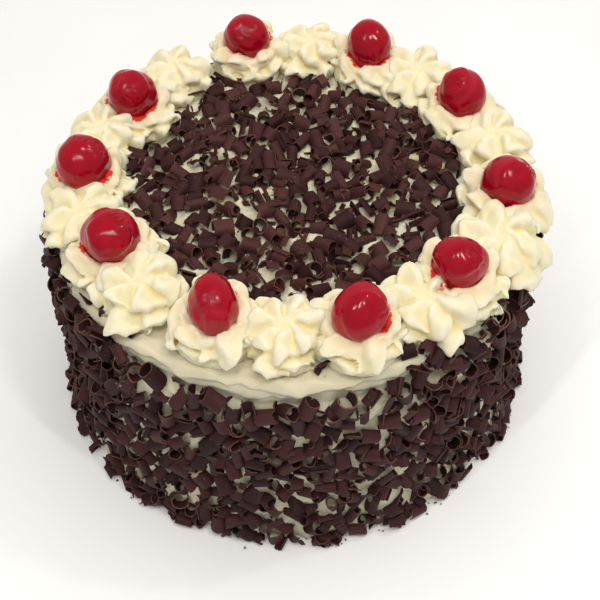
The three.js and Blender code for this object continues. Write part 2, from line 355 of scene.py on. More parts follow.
# the same chocolate as on the side, painted lighter for the stronger light that falls on the top
CHOCOLATE_PAINTED_LIT = chocolate_material("top_chocolate", (0.023, 0.0070, 0.0072), (0.076, 0.0272, 0.0245))
CHOCOLATE_EDGE = chocolate_material("chocolate_edge", (0.075, 0.030, 0.023), (0.15, 0.066, 0.050))
CHOCOLATE_FLAKE = chocolate_material("chocolate_flake", (0.045, 0.017, 0.012), (0.09, 0.036, 0.027))
CHERRY_FLESH = cherry_material()


# ---------- the cream body

BAND_FINE = 16 * MM                     # below the top, from where the outline's points lie closer
BAND_FROM, BAND_FULL = 13 * MM, 9 * MM  # below the top, where chocolate gives way to bare cream
BAND_SUNK = 0.8 * MM                    # the bare band lies deeper than the cream above
PLUMPED = 2.2 * MM                      # the cream that shows between curls stands out by this much
# The spatula's strokes round the band: mm below the top, how much each wavers, the length of its
# waves, how far the cream above stands out, the lower and upper end of that step, and its seed.
STROKES = [(2.4, 0.9, 34, 1.3, -0.4, 0.2, 5), (5.0, 1.0, 22, 0.6, -0.5, 0.3, 6)]


def coat_top(angle):
    """How high the chocolate reaches on the side in that direction."""
    degrees, above = np.array(COAT_EDGE).T
    return CAKE_TOP + np.interp(np.degrees(angle), degrees, above) * MM


def flare_at(height):
    """How much wider than at its top the cake is at a height."""
    return FOOT_FLARE * np.clip(1 - height / FLARE_HEIGHT, 0, 1) ** 2


def body_outline():
    """The cream's outline from the middle of its foot to the middle of its top: radii and heights."""
    low_rows, band_rows, edge_rows, top_rows = 36, 42, 16, 70
    edge_from = CAKE_TOP - EDGE_ROUND
    side = [*np.linspace(0, CAKE_TOP - BAND_FINE, low_rows),
            *np.linspace(CAKE_TOP - BAND_FINE, edge_from, band_rows)[1:]]
    outline = [(CREAM_RADIUS * share, 0) for share in (0.02, 0.5, 0.985)]
    outline += [(CREAM_RADIUS, height) for height in side]
    outline += [(CREAM_RADIUS - EDGE_ROUND * (1 - math.cos(t)), CAKE_TOP - EDGE_ROUND * (1 - math.sin(t)))
                for t in np.linspace(0, math.pi / 2, edge_rows)[1:]]
    inwards = np.linspace(CREAM_RADIUS - EDGE_ROUND, 0.4 * MM, top_rows)[1:]
    outline += [(radius, CAKE_TOP) for radius in inwards]
    return np.array(outline).T


def spatula_strokes(ring, angle, height):
    """How far the cream stands out in the bare band."""
    around = at_angle(angle, CREAM_RADIUS, height * 0.5)
    out = waves(around, 9 * MM, SEEDS["body_dents"], 2) * 0.35 * MM - BAND_SUNK
    for below, waver, wave, step, low, high, seed in STROKES:
        at = CAKE_TOP - below * MM + waves(ring, wave * MM, seed) * waver * MM
        out += step * MM * ease(low * MM, high * MM, height - at)
    return out


def raised_edge(ring, radius, height):
    """How far the cream is raised along the edge of the top."""
    edge = bell(radius - CREAM_RADIUS + 3.5 * MM, 2.2 * MM) * (height > CAKE_TOP - EDGE_ROUND)
    return edge * (1.0 + 0.7 * waves(ring, 16 * MM, SEEDS["body_edge"], 2)) * MM


def cream_body():
    """The iced cylinder, with the spatula's strokes round the bare band under the rosettes."""
    columns = 360
    radius, height = body_outline()
    rows = len(radius)
    angle = np.arange(columns) * WHOLE_TURN / columns
    radius, height, angle = np.broadcast_arrays(radius[:, None], height[:, None], angle[None, :])
    point = at_angle(angle, radius + flare_at(height) * (radius > CREAM_RADIUS * 0.98), height)
    ring = at_angle(angle, CREAM_RADIUS, 0)[..., :2]
    on_side = (radius > CREAM_RADIUS - 0.9 * EDGE_ROUND) & (height > 0)
    on_top = (height > CAKE_TOP - 1 * MM) & (radius < CREAM_RADIUS - EDGE_ROUND)
    lumps = waves(point, 16 * MM, SEEDS["body_lumps"]) * 0.6 * MM
    lumps += waves(point, 6 * MM, SEEDS["body_pits"]) * 0.45 * MM

    in_band = ease(CAKE_TOP - BAND_FROM, CAKE_TOP - BAND_FULL, height) * on_side
    plumped = PLUMPED * ease(0, 3 * MM, height) * (1 - in_band)
    out = plumped + lumps * (1 - 0.6 * in_band) + in_band * spatula_strokes(ring, angle, height)
    up = np.where(on_top, lumps * 1.4 + 0.8 * MM, 0) + raised_edge(ring, radius, height)
    scale = 1 + np.where(on_side, out, 0) / np.maximum(radius, 1 * MM)
    point = np.stack([point[..., 0] * scale, point[..., 1] * scale, point[..., 2] + up], axis=-1)
    return make_object("cream_body", point.reshape(-1, 3), tube_faces(rows, columns), [BODY_CREAM])


# ---------- piped rosettes

# Sections of a ridge of piped cream, as (across, up) from -1 to 1: upright near the middle of a
# rosette, further out a thin blade that leans over clockwise and slopes off on its other side,
# and a rounder lobe at its end.
RIDGE = [(1.0, 0.0), (0.72, 0.5), (0.34, 0.9), (0.0, 1.0), (-0.34, 0.9), (-0.72, 0.5), (-1.0, 0.0),
         (-0.5, -0.4), (0.5, -0.4)]
BLADE = [(1.0, 0.0), (0.62, 0.24), (0.24, 0.52), (-0.10, 0.86), (-0.40, 1.0), (-0.68, 0.86),
         (-0.72, 0.42), (-0.5, -0.5), (0.6, -0.5)]
LOBE = [(1.0, 0.0), (0.82, 0.38), (0.44, 0.74), (-0.04, 0.97), (-0.50, 0.93), (-0.82, 0.60),
        (-0.86, 0.1), (-0.5, -0.5), (0.5, -0.5)]
# Where along a petal the one section turns into the next, as shares of its length.
TO_BLADE, TO_LOBE = (0.1, 0.35), (0.5, 0.85)

# The petals of a closed star and of the nest under a cherry: the line of their top, as (share of the
# reach, height in mm), how deep they are along it, in mm, the radius and half height of the mound
# inside, in mm, how far they reach beside a star's, and how high their torn edges are, in mm.
Piping = namedtuple("Piping", "crest depth mound reach torn")
STAR = Piping([(0.0, 13.0), (0.14, 14.6), (0.42, 16.4), (0.70, 16.2), (0.88, 15.0), (1.0, 13.8)],
              [2.5, 5.0, 7.0, 8.0, 7.4], (15.0, 9.0), 1.0, 0.07)
NEST = Piping([(0.20, 12.4), (0.50, 15.4), (0.68, 16.8), (0.80, 16.4), (0.92, 14.8), (1.0, 13.2)],
              [3.0, 5.0, 7.0, 8.0, 7.4], (17.0, 11.5), 1.08, 0.12)
# The lobes of the skirt below both.
SKIRT_CREST = [(0.3, 10.2), (0.6, 11.4), (0.84, 10.8), (1.0, 9.4)]
SKIRT_DEPTH = [5.0, 6.5, 7.2, 6.8]
PETAL_WIDTH = (0.06, 0.40, 0.72, 0.90, 0.92)    # along it, as shares of its place round the rosette
SKIRT_WIDTH = (0.5, 0.75, 0.9, 0.9)
NARROWEST = 1.2                 # mm, a petal near the middle
MOUND_MIDDLE = 2.0 * MM
CUP_RADIUS, CUP_THICKNESS, CUP_HEIGHT = 12.0 * MM, 2.6 * MM, 12.4 * MM      # what a cherry sits in
TOOTH_RADIUS, TOOTH_FOOT = 11.2 * MM, 13 * MM


def closed_path(points, count):
    """count points round a closed smooth curve through the given ones."""
    steps_each = 20
    points = np.asarray(points, dtype=float)
    wrapped = np.vstack([points[-2:], points, points[:3]])
    fine = smooth_path(wrapped, (len(wrapped) - 1) * steps_each + 1)[2 * steps_each:-2 * steps_each]
    steps = np.append(0, np.cumsum(np.linalg.norm(np.diff(fine, axis=0), axis=1)))
    at = np.linspace(0, steps[-1], count, endpoint=False)
    return np.stack([np.interp(at, steps, fine[:, k]) for k in range(2)], axis=1)


def spread_over(numbers, t):
    """The value at each share t of a length over which the numbers are spread evenly."""
    return np.interp(t, np.linspace(0, 1, len(numbers)), numbers)


def petal(direction, reach, crest, depth, half_width, twist, hook, nose, lip, rows=34):
    """A closed ridge of cream squeezed outwards from the middle, as points and faces.

    crest is the line of its top, as (share of the reach, height in mm). depth is how far the ridge
    stands up and half_width how wide it is, both in mm along that line. It swirls by the twist and
    its end turns back by the hook. Its last share, the nose, is round from above, and its edge
    overhangs by the lip.
    """
    around, fine, squareness = 28, 80, 3.6
    t = 1 - (1 - np.linspace(0, 1, rows)) ** 1.5
    out, up = (spread_over(line, t) for line in smooth_path(crest, fine).T)
    turn = direction + twist * (1 - t) ** 1.4 + hook * ease(0.45, 1, t)
    line = at_angle(turn, reach * out, up * MM)
    forward = unit(np.gradient(line, axis=0))
    across = unit(np.stack([-forward[:, 1], forward[:, 0], 0 * t], axis=1))
    outward = np.cross(forward, across)

    end = np.clip((t - 1 + nose) / nose, 0, 1)
    narrowing = np.sqrt(np.clip(1 - end**2, 0.0009, 1))
    sinking = np.clip(1 - end**squareness, 0.01, 1) ** (1 / squareness)
    rise = spread_over(depth, t) * MM
    half = spread_over(half_width, t) * MM * narrowing
    bladed, lobed = (ease(*stretch, t)[:, None, None] for stretch in (TO_BLADE, TO_LOBE))
    section = closed_path(BLADE, around) * (1 - lobed) + closed_path(LOBE, around) * lobed
    section = closed_path(RIDGE, around) * (1 - bladed) + section * bladed
    x = half[:, None] * section[..., 0]
    z = rise[:, None] * (section[..., 1] * sinking[:, None] - 1)
    tucked = lip * ease(0.45, 1, t)[:, None] * (1 - np.clip(section[..., 1], 0, 1))
    points = (line[:, None, :] + across[:, None, :] * x[..., None] + outward[:, None, :] * z[..., None]
              - forward[:, None, :] * tucked[..., None])
    return points.reshape(-1, 3), tube_faces(rows, around)


def cup():
    """A closed ring of cream, for a cherry to sit in."""
    around, section = 48, 12
    turn = (np.arange(around) * WHOLE_TURN / around)[:, None]
    a = (np.arange(section) * WHOLE_TURN / section)[None, :]
    points = at_angle(turn, CUP_RADIUS + CUP_THICKNESS * np.cos(a), CUP_HEIGHT + CUP_THICKNESS * np.sin(a))
    last_row_is_first = grid_faces(around + 1, section) % (around * section)
    return points.reshape(-1, 3), np.roll(last_row_is_first[:, ::-1], 1, axis=1).tolist()


def tooth(direction, tip, width):
    """A torn tip of cream standing up against the cherry."""
    rows, around, thickness = 5, 10, 1.3 * MM
    heights = np.linspace(TOOTH_FOOT, tip, rows)
    share = np.linspace(0, 1, rows)
    a = np.arange(around) * WHOLE_TURN / around
    along = width * (1 - 0.85 * share)[:, None] * np.cos(a)
    through = thickness * (1 - 0.5 * share)[:, None] * np.sin(a) + (TOOTH_RADIUS + 1.4 * MM * share)[:, None]
    points = np.stack([
        through * math.cos(direction) - along * math.sin(direction),
        through * math.sin(direction) + along * math.cos(direction),
        heights[:, None] + 0 * through], axis=-1)
    return points.reshape(-1, 3), tube_faces(rows, around)


def dome(radius, half_height):
    """The closed mound inside a rosette, from its sizes in mm."""
    rows, around, pole = 12, 24, 0.05
    polar = np.linspace(pole, math.pi - pole, rows)[:, None]
    a = (np.arange(around) * WHOLE_TURN / around)[None, :]
    points = at_angle(a, radius * MM * np.sin(polar), MOUND_MIDDLE + half_height * MM * np.cos(polar))
    return points.reshape(-1, 3), tube_faces(rows, around, inside_out=True)


def joined(shapes):
    """Several (points, faces) as one."""
    points, faces, first = [], [], 0
    for some_points, some_faces in shapes:
        points.append(some_points)
        faces += [[first + i for i in face] for face in some_faces]
        first += len(some_points)
    return np.vstack(points), faces


def fused(points, faces):
    """One soft skin round overlapping closed shapes: points, their normals and quads."""
    mesh = bpy.data.meshes.new("loose_cream")
    mesh.from_pydata((points / MM).tolist(), [], faces)
    loose = bpy.data.objects.new("loose_cream", mesh)
    bpy.context.collection.objects.link(loose)
    remesh = loose.modifiers.new("fuse", "REMESH")
    remesh.mode, remesh.voxel_size = "VOXEL", CREAM_CELL / MM
    soften = loose.modifiers.new("soften", "SMOOTH")
    soften.factor, soften.iterations = 0.5, 5
    whole = loose.evaluated_get(bpy.context.evaluated_depsgraph_get())
    skin = whole.to_mesh()
    points, normals = np.empty((2, len(skin.vertices), 3), dtype=np.float32)
    skin.vertices.foreach_get("co", points.ravel())
    skin.vertex_normals.foreach_get("vector", normals.ravel())
    quads = np.empty(len(skin.loops), dtype=np.int32)
    skin.loops.foreach_get("vertex_index", quads)
    whole.to_mesh_clear()
    bpy.data.objects.remove(loose)
    bpy.data.meshes.remove(mesh)
    return points.astype(float) * MM, normals.astype(float), quads.reshape(-1, 4)


def hollowness(points, normals, quads):
    """How far each point lies below its surroundings, in metres: above zero in a crease."""
    rounds = 26
    start, end = quads.ravel(), np.roll(quads, -1, axis=1).ravel()
    count = np.maximum(np.bincount(start, minlength=len(points)), 1)
    around = points.copy()
    for _ in range(rounds):
        around = np.stack([np.bincount(start, weights=around[end, k], minlength=len(points)) / count
                           for k in range(3)], axis=1)
    return np.sum((around - points) * normals, axis=1)


def rosette_shapes(rng, size, piping):
    """The loose petals, skirt lobes and mound of one rosette that reaches out to a size, round Z."""
    petals = int(rng.integers(6, 8))
    twist = rng.uniform(0.7, 1.1)
    begin = rng.uniform(0, WHOLE_TURN)
    shapes = [dome(*piping.mound)]
    for i in range(petals):
        direction = begin + (i + rng.uniform(-0.14, 0.14)) * WHOLE_TURN / petals
        reach = size * rng.uniform(0.74, 0.90) * piping.reach
        flare = rng.uniform(-1.6, 1.6)
        crest = [(out, up + flare * max(out - 0.4, 0) / 0.6 + rng.uniform(-0.3, 0.3))
                 for out, up in piping.crest]
        place = math.pi * reach / MM / petals * rng.uniform(1.20, 1.40)
        half_width = [max(NARROWEST, place * share) for share in PETAL_WIDTH]
        shapes.append(petal(
            direction, reach, crest, piping.depth, half_width, twist, hook=rng.uniform(0.15, 0.55),
            nose=rng.uniform(0.44, 0.54), lip=rng.uniform(0.6, 2.4) * MM))
    lobes = int(rng.integers(6, 8))
    for i in range(lobes):
        direction = begin + 0.4 + (i + rng.uniform(-0.2, 0.2)) * WHOLE_TURN / lobes
        reach = size * rng.uniform(0.94, 1.08)
        crest = [(out, up + rng.uniform(-0.6, 0.6)) for out, up in SKIRT_CREST]
        place = math.pi * reach / MM / lobes * rng.uniform(0.85, 1.25)
        half_width = [share * place for share in SKIRT_WIDTH]
        shapes.append(petal(
            direction, reach, crest, SKIRT_DEPTH, half_width, twist=0.4, hook=rng.uniform(0.0, 0.3),
            nose=0.5, lip=rng.uniform(1.0, 2.6) * MM, rows=20))
    if piping is NEST:
        shapes.append(cup())
        teeth = int(rng.integers(4, 7))
        for i in range(teeth):
            direction = (i + rng.uniform(-0.35, 0.35)) * WHOLE_TURN / teeth
            tip = rng.uniform(15.2, 18.0) * MM
            shapes.append(tooth(direction, tip, rng.uniform(2.0, 4.0) * MM))
    return shapes


def piped_at(points, middle):
    """A rosette's points, turned outwards from the cake's axis, in place, leaning and drooping."""
    points[:, 1] *= ROSETTE_NARROW
    turn = np.array(Matrix.Rotation(math.atan2(middle[1], middle[0]), 3, "Z"))
    points = points @ turn.T + [middle[0], middle[1], CAKE_TOP]
    radius = np.hypot(points[:, 0], points[:, 1])
    height = points[:, 2] - CAKE_TOP
    points[:, 2] -= FORWARD_TILT * (middle[1] - points[:, 1]) * np.clip(height / TILT_HEIGHT, 0, 1)
    points[:, 2] -= DROOP * np.maximum(radius - DROOP_FROM, 0) ** 2 / MM
    return points


def round_cherry(points, number, centre, width):
    """Pushes cream out of a cherry's way, and says how much juice and blush each point takes."""
    hold = width / 2 - 0.5 * MM
    apart = points - centre
    distance = np.linalg.norm(apart, axis=1)
    inside = distance < hold
    points[inside] = centre + apart[inside] * (hold / distance[inside])[:, None]
    clear = np.maximum(np.linalg.norm(points - centre, axis=1) - width / 2, 0)
    bearing = unit(apart) * 3 * MM * [1, 1, 0.2]
    streaks = waves(bearing, 2.2 * MM, SEEDS["streaks"] + number, 2)
    patches = ease(-0.1, 0.9, waves(bearing, 6 * MM, SEEDS["patches"] + number, 1))
    spread = np.maximum(0.5 + 1.5 * patches + 0.5 * streaks, 0.2) * MM
    return bell(clear, spread) * (0.25 + 0.75 * patches), np.exp(-clear / (3.0 * MM))


def rosette(number, middle, fruit):
    """A piped rosette, and under a cherry one whose petals stand up round the fruit."""
    piping = NEST if fruit else STAR
    rng = np.random.default_rng(SEEDS["rosette"] + number)
    points, faces = joined(rosette_shapes(rng, ROSETTE_REACH[number - 1] * MM, piping))
    lumps = [waves(points, 8 * MM, SEEDS["lumps"] + number + 40 * k, 2) for k in range(3)]
    points += np.stack(lumps, axis=1) * 0.40 * MM
    points, normals, quads = fused(points, faces)
    crease = hollowness(points, normals, quads)
    torn = waves(points, 1.7 * MM, SEEDS["torn"] + number, 2) * ease(0.15 * MM, 0.6 * MM, -crease)
    points[:, 2] += torn * piping.torn * MM
    points = piped_at(points, middle)
    juice, blush = round_cherry(points, number, *fruit) if fruit else np.zeros((2, len(points)))
    values = {"juice": juice, "blush": blush, "crease": ease(0, 1.0 * MM, crease),
              "crest": ease(0.1 * MM, 0.9 * MM, -crease)}

    radius = np.hypot(points[:, 0], points[:, 1])
    hidden = (points[:, 2] < CAKE_TOP - 2 * MM) & (radius < CREAM_RADIUS - 3 * MM)
    kept, faces = np.unique(quads[~hidden[quads].all(axis=1)], return_inverse=True)
    values = {key: numbers[kept] for key, numbers in values.items()}
    obj = make_object(f"piped_rosette_{number:02d}", points[kept], faces.reshape(-1, 4).tolist(),
                      [ROSETTE_CREAM], values=values)
    part_of_cake(obj, "cream", f"rosette_{number:02d}")


# ---------- cherries

# How each cherry differs from a ball, seen as in the photograph: how much taller than wide it is, how
# far its long axis leans clockwise (degrees), the middle of the pucker where its stone came out as
# (across, up), and its folds and dents as (across, up, angular radius, depth), in shares of its radius.
CHERRY_FORMS = {
    2: (1.18, -8, (-0.45, 0.45), [(-0.5, 0.5, 0.80, 0.030)],
        [(-0.38, 0.36, 0.22, 0.06), (-0.8, -0.5, 0.5, 0.05)]),
    4: (1.15, 0, (0.1, -0.7), [(0.15, 0.3, 1.25, 0.030)], [(-0.9, -0.5, 0.5, 0.05)]),
    6: (0.94, 20, (0.0, 0.1), [(0.1, 0.2, 1.20, 0.025)],
        [(0.35, 0.1, 0.15, 0.03), (-0.3, 0.3, 0.15, 0.03)]),
    8: (1.02, 10, (-0.15, -0.05), [(-0.05, 0.05, 0.95, 0.045)],
        [(-0.95, 0.0, 0.40, 0.08), (0.9, -0.35, 0.45, 0.07)]),
    10: (0.95, 25, (0.6, 0.6), [(0.2, 0.4, 1.10, 0.020)],
         [(-1.0, 0.05, 0.60, 0.13), (0.8, -0.6, 0.45, 0.05)]),
    12: (0.98, 30, (0.5, 0.75), [(0.12, 0.0, 1.02, 0.040)], [(-0.7, -0.7, 0.40, 0.06)]),
    14: (1.16, 0, (0.08, 0.08), [(0.1, -0.75, 0.55, 0.040)],
         [(-0.15, 0.25, 0.14, 0.05), (0.3, -0.1, 0.14, 0.05)]),
    16: (1.10, 25, (0.9, 0.2), [(0.25, -0.2, 0.92, 0.030)], [(-0.75, -0.6, 0.40, 0.05)]),
    18: (0.90, -12, (0.6, 0.1), [(-0.3, 0.35, 1.15, 0.060)],
         [(0.7, -0.2, 0.30, 0.05), (0.55, 0.35, 0.2, 0.03)]),
    20: (0.96, 15, (0.7, 0.5), [(0.2, -0.1, 0.85, 0.020)],
         [(0.75, 0.45, 0.18, 0.06), (0.5, 0.7, 0.12, 0.04)]),
}
PUCKER_RIDGES = 7
PLUMP, WRINKLE, PUCKER = 0.042, 0.010, 0.022    # how far these stand out, in shares of the radius


def seen_at(across, up):
    """The direction from a cherry's middle to a point of its outline or face."""
    back = math.sqrt(max(1 - across**2 - up**2, 0))
    return unit(across * VIEW_RIGHT + up * VIEW_UP + back * VIEW_BACK)


def angle_from(ball, middle):
    """How far each point of a ball lies from a direction, in radians."""
    return np.arccos(np.clip(ball @ middle, -1, 1))


def puckered(ball, number, place):
    """The ridges that run out from where a cherry's stone came out, as shares of its radius."""
    middle = seen_at(*place)
    beside = unit(np.cross(middle, VIEW_UP))
    above = np.cross(beside, middle)
    around = np.arctan2(ball @ above, ball @ beside)
    around += 0.8 * waves(ball, 0.8, SEEDS["pucker"] + number, 2)
    away = angle_from(ball, middle)
    return PUCKER * np.sin(PUCKER_RIDGES * around) * ease(0.02, 0.16, away) * ease(0.75, 0.2, away)


def cherry(number, centre, width):
    """A pitted syrup cherry: plump, folded and dented, each in its own way."""
    tall, lean, pucker, folds, dents = CHERRY_FORMS[number]
    rows, columns, pole = 76, 116, 0.02
    polar = np.linspace(pole, math.pi - pole, rows)[:, None]
    angle = (np.arange(columns) * WHOLE_TURN / columns)[None, :]
    ball = at_angle(angle, np.sin(polar), np.cos(polar))
    drawn_out = ball @ np.stack([VIEW_RIGHT, VIEW_UP, VIEW_BACK], axis=1) * [2.0, 1, 1]
    wrinkled = ease(-0.3, 0.9, waves(ball, 1.3, SEEDS["wrinkled"] + number, 1))
    size = 1 + PLUMP * waves(ball, 1.9, SEEDS["plump"] + number, 2)
    size += WRINKLE * wrinkled * waves(drawn_out, 0.7, SEEDS["wrinkles"] + number, 2)
    # where the painted glow of light through the thin skin lies, along the folds
    thin = np.zeros(ball.shape[:-1])
    for across, up, radius, depth in folds:
        wavering = 0.10 * waves(ball, 1.5, SEEDS["fold"] + number, 2)
        inside = radius - angle_from(ball, seen_at(across, up)) - wavering
        size -= 1.5 * depth * ease(0.16, -0.06, inside) * ease(-0.9, -0.05, inside)
        thin = np.maximum(thin, bell(inside + 0.14, 0.16))
    for across, up, radius, depth in dents:
        uneven = 1 + 0.16 * waves(ball, 0.9, SEEDS["dent"] + number, 1)
        size -= depth * bell(angle_from(ball, seen_at(across, up)) * uneven, radius)
    size += puckered(ball, number, pucker)
    verts = (ball * size[..., None]).reshape(-1, 3)

    turn = math.radians(lean)
    long_axis = math.sin(turn) * VIEW_RIGHT + math.cos(turn) * VIEW_UP
    verts += np.outer(verts @ long_axis, long_axis) * (tall - 1)
    verts -= (verts.max(axis=0) + verts.min(axis=0)) / 2
    verts *= width / np.ptp(verts @ VIEW_RIGHT)
    sunk = max(1 - tall, 0) * width / 2
    obj = make_object(f"syrup_cherry_{number:02d}", verts + centre - [0, 0, sunk],
                      tube_faces(rows, columns, inside_out=True), [CHERRY_FLESH],
                      values={"thin": thin.reshape(-1)})
    part_of_cake(obj, "cherry", f"cherry_{number:02d}")


# ---------- chocolate shavings

GOLDEN_SHARE = 0.6180339887
GOLDEN_ANGLE = math.pi * (3 - math.sqrt(5))
SHARP_EDGE = math.radians(42)
TEXTURE_PER_METRE = 100         # a shaving's texture repeats in centimetres


def places_on_side(count, rng):
    """Even places on the side: positions and the directions that face away from the cake."""
    i = np.arange(count)
    angle = WHOLE_TURN * ((i + rng.uniform(-0.2, 0.2, count)) / count)
    lowest, highest = 3 * MM, coat_top(angle % WHOLE_TURN) - 2.5 * MM
    height = lowest + (highest - lowest) * (i * GOLDEN_SHARE % 1)
    return at_angle(angle, CREAM_RADIUS + flare_at(height) + 3 * MM, height), at_angle(angle, 1, 0)


def places_on_top(count, _):
    """Even places on the middle of the top, in a spiral: positions and upward directions."""
    i = np.arange(count)
    distance = (TOP_BED_RADIUS - 3 * MM) * np.sqrt((i + 0.5) / count)
    return BED_MIDDLE + at_angle(i * GOLDEN_ANGLE, distance, CAKE_TOP + 3 * MM), straight_up(count)


def random_axes(out, rng, lift):
    """Axes lying in the surface, each turned its own way and lifted out of it a little."""
    count = len(out)
    side = unit(np.cross(out, rng.normal(size=(count, 3))))
    return unit(side + out * rng.normal(0, lift, (count, 1)))


def closest_between(p, q, p_axis, q_axis, p_half, q_half):
    """Closest points of pairs of segments that reach half their length to both sides of p and q."""
    apart = p - q
    both = np.sum(p_axis * q_axis, axis=1)
    along_p = np.sum(p_axis * apart, axis=1)
    along_q = np.sum(q_axis * apart, axis=1)
    s = np.clip((both * along_q - along_p) / np.maximum(1 - both * both, 1e-6), -p_half, p_half)
    t = np.clip(both * s + along_q, -q_half, q_half)
    s = np.clip(both * t - along_p, -p_half, p_half)
    return p + p_axis * s[:, None], q + q_axis * t[:, None]


def settle(position, axis, half, radius, keep_in):
    """Pushes curls that overlap apart, as they would have slid when they were pressed on."""
    rounds, longest_push = 24, 1 * MM
    for _ in range(rounds):
        tree = kdtree.KDTree(len(position))
        for i, p in enumerate(position):
            tree.insert(p, i)
        tree.balance()
        reach = 2 * (half.max() + radius.max())
        pairs = np.array([(i, j) for i, p in enumerate(position)
                          for _, j, _ in tree.find_range(p, reach) if j > i])
        if not len(pairs):
            break
        i, j = pairs.T
        first, second = closest_between(position[i], position[j], axis[i], axis[j], half[i], half[j])
        apart = first - second
        distance = np.maximum(np.linalg.norm(apart, axis=1), 1e-7)
        overlap = np.maximum(radius[i] + radius[j] - distance, 0)
        push = apart / distance[:, None] * (0.5 * overlap)[:, None]
        move = np.zeros_like(position)
        np.add.at(move, i, push)
        np.add.at(move, j, -push)
        position = keep_in(position + np.clip(move, -longest_push, longest_push))
    return position


def keep_on_side(axis, half, radius):
    """A function that holds curls between the cream and the outside of the coat on the side."""
    def keep(position):
        distance = np.hypot(position[:, 0], position[:, 1])
        out = position * [1, 1, 0] / distance[:, None]
        depth = radius + half * np.abs(np.sum(axis * out, axis=1))
        flare = flare_at(position[:, 2])
        inwards = 1.1 * np.maximum(position[:, 2] - CAKE_TOP + 1.5 * MM, 0)         # at the rounded edge
        lowest = CREAM_RADIUS + flare + 0.55 * depth + 0.5 * MM - inwards           # almost half sunk in
        highest = np.maximum(COAT_RADIUS + flare - depth, lowest)
        held = out * np.clip(distance, lowest, highest)[:, None]
        rise = radius + half * np.abs(axis[:, 2])
        floor = rise + 0.1 * MM
        angle = np.arctan2(position[:, 1], position[:, 0]) % WHOLE_TURN
        ceiling = coat_top(angle) - 0.75 * rise
        held[:, 2] = np.clip(position[:, 2], floor, np.maximum(ceiling, floor))
        return held
    return keep


def keep_on_top(axis, half, radius):
    """A function that holds curls in a low bed inside the ring of rosettes."""
    bed_height = 6.5 * MM

    def keep(position):
        away = position - BED_MIDDLE
        distance = np.hypot(away[:, 0], away[:, 1])
        limit = TOP_BED_RADIUS - 0.8 * half
        held = BED_MIDDLE + away * np.minimum(limit / np.maximum(distance, 1 * MM), 1)[:, None]
        depth = radius + half * np.abs(axis[:, 2])
        lowest = CAKE_TOP + 0.6 * depth
        held[:, 2] = np.clip(position[:, 2], lowest, np.maximum(lowest, CAKE_TOP + bed_height - depth))
        return held
    return keep


def sheet_faces(across, lengthways):
    """Quads of one curved sheet of an outer and an inner grid of points, and their material slots."""
    n_along, n_across = lengthways + 1, across + 1
    shell = n_along * n_across
    outer = grid_faces(n_across, n_along, 0, closed=False)
    inner = grid_faces(n_across, n_along, shell, closed=False)[:, ::-1]

    def edge(first, second, turned):
        quad = [first, second, shell + second, shell + first]
        return quad[::-1] if turned else quad

    edges = [edge(a * n_along + end, (a + 1) * n_along + end, end > 0)
             for a in range(across) for end in (0, lengthways)]
    edges += [edge(a * n_along + step, a * n_along + step + 1, a == 0)
              for step in range(lengthways) for a in (0, across)]
    slots = [0] * (len(outer) + len(inner)) + [1] * len(edges)
    return np.vstack([outer, inner, edges])[:, ::-1], slots


def shavings(name, position, axis, out, length, radius, sweep, rng, material, across, lengthways):
    """Curved sheets of chocolate, all in one mesh.

    Each lies at its position along its axis, faces out, and is rolled up by its sweep, in radians.
    across and lengthways are the quads round it and along it.
    """
    count = len(position)
    share = np.linspace(0, 1, across + 1)[None, :]
    start = rng.uniform(0, WHOLE_TURN, (count, 1))
    angle = start + sweep[:, None] * share
    growth = rng.uniform(-0.04, 0.14, (count, 1)) + 0.05 * np.maximum(sweep[:, None] - WHOLE_TURN, 0)
    growth = np.where(sweep[:, None] > 5.6, np.abs(growth) + 0.16, growth)     # rolls clear themselves
    rolled = radius[:, None] * (1 + growth * (share - 0.5)) * (1 + 0.04 * np.sin(3 * angle + start))
    ragged = rng.normal(0, 0.026, (count, across + 1, 2))
    slant = rng.normal(0, 0.11, (count, 1, 2)) * (share[..., None] - 0.5)
    cone = rng.normal(0, 0.10, (count, 1, 1))
    along = np.linspace(-0.5, 0.5, lengthways + 1) + np.zeros((count, across + 1, 1))
    along[..., [0, -1]] += ragged + slant
    thick = SHEET_THICKNESS * rng.uniform(0.75, 1.25, (count, 1, 1))
    shells = [at_angle(angle[..., None], rolled[..., None] * (1 + cone * along) - inset * thick,
                       along * length[:, None, None]) for inset in (0, 1)]
    local = np.stack(shells, axis=1)                      # curl, shell, across, along, xyz

    x = unit(out - axis * np.sum(out * axis, axis=1, keepdims=True))
    basis = np.stack([x, np.cross(axis, x), axis], axis=-1)
    verts = np.einsum("nij,nsalj->nsali", basis, local) + position[:, None, None, None, :]
    below_ground = np.minimum(verts[..., 2].min(axis=(1, 2, 3)) - 0.05 * MM, 0)
    verts[..., 2] -= below_ground[:, None, None, None]

    one, slots = sheet_faces(across, lengthways)
    points_each = 2 * (across + 1) * (lengthways + 1)
    faces = (one[None] + (np.arange(count) * points_each)[:, None, None]).reshape(-1, 4).tolist()
    everywhere = np.zeros_like(verts[..., 0])
    arc = (rolled.mean(axis=1)[:, None] * (angle - start))[:, None, :, None] + everywhere
    axial = (along * length[:, None, None])[:, None] + everywhere
    offset = rng.uniform(0, 1, (count, 1, 1, 1))
    uvs = np.stack([arc * TEXTURE_PER_METRE + offset * 7, axial * TEXTURE_PER_METRE + offset * 3], axis=-1)
    shade = (rng.uniform(0, 1, (count, 1, 1, 1)) + everywhere).ravel()
    obj = make_object(name, verts.reshape(-1, 3), faces, [material, CHOCOLATE_EDGE], uvs=uvs.reshape(-1, 2),
                      values={"shade": shade}, face_slots=np.tile(slots, count))
    obj.data.set_sharp_from_angle(angle=SHARP_EDGE)
    return obj


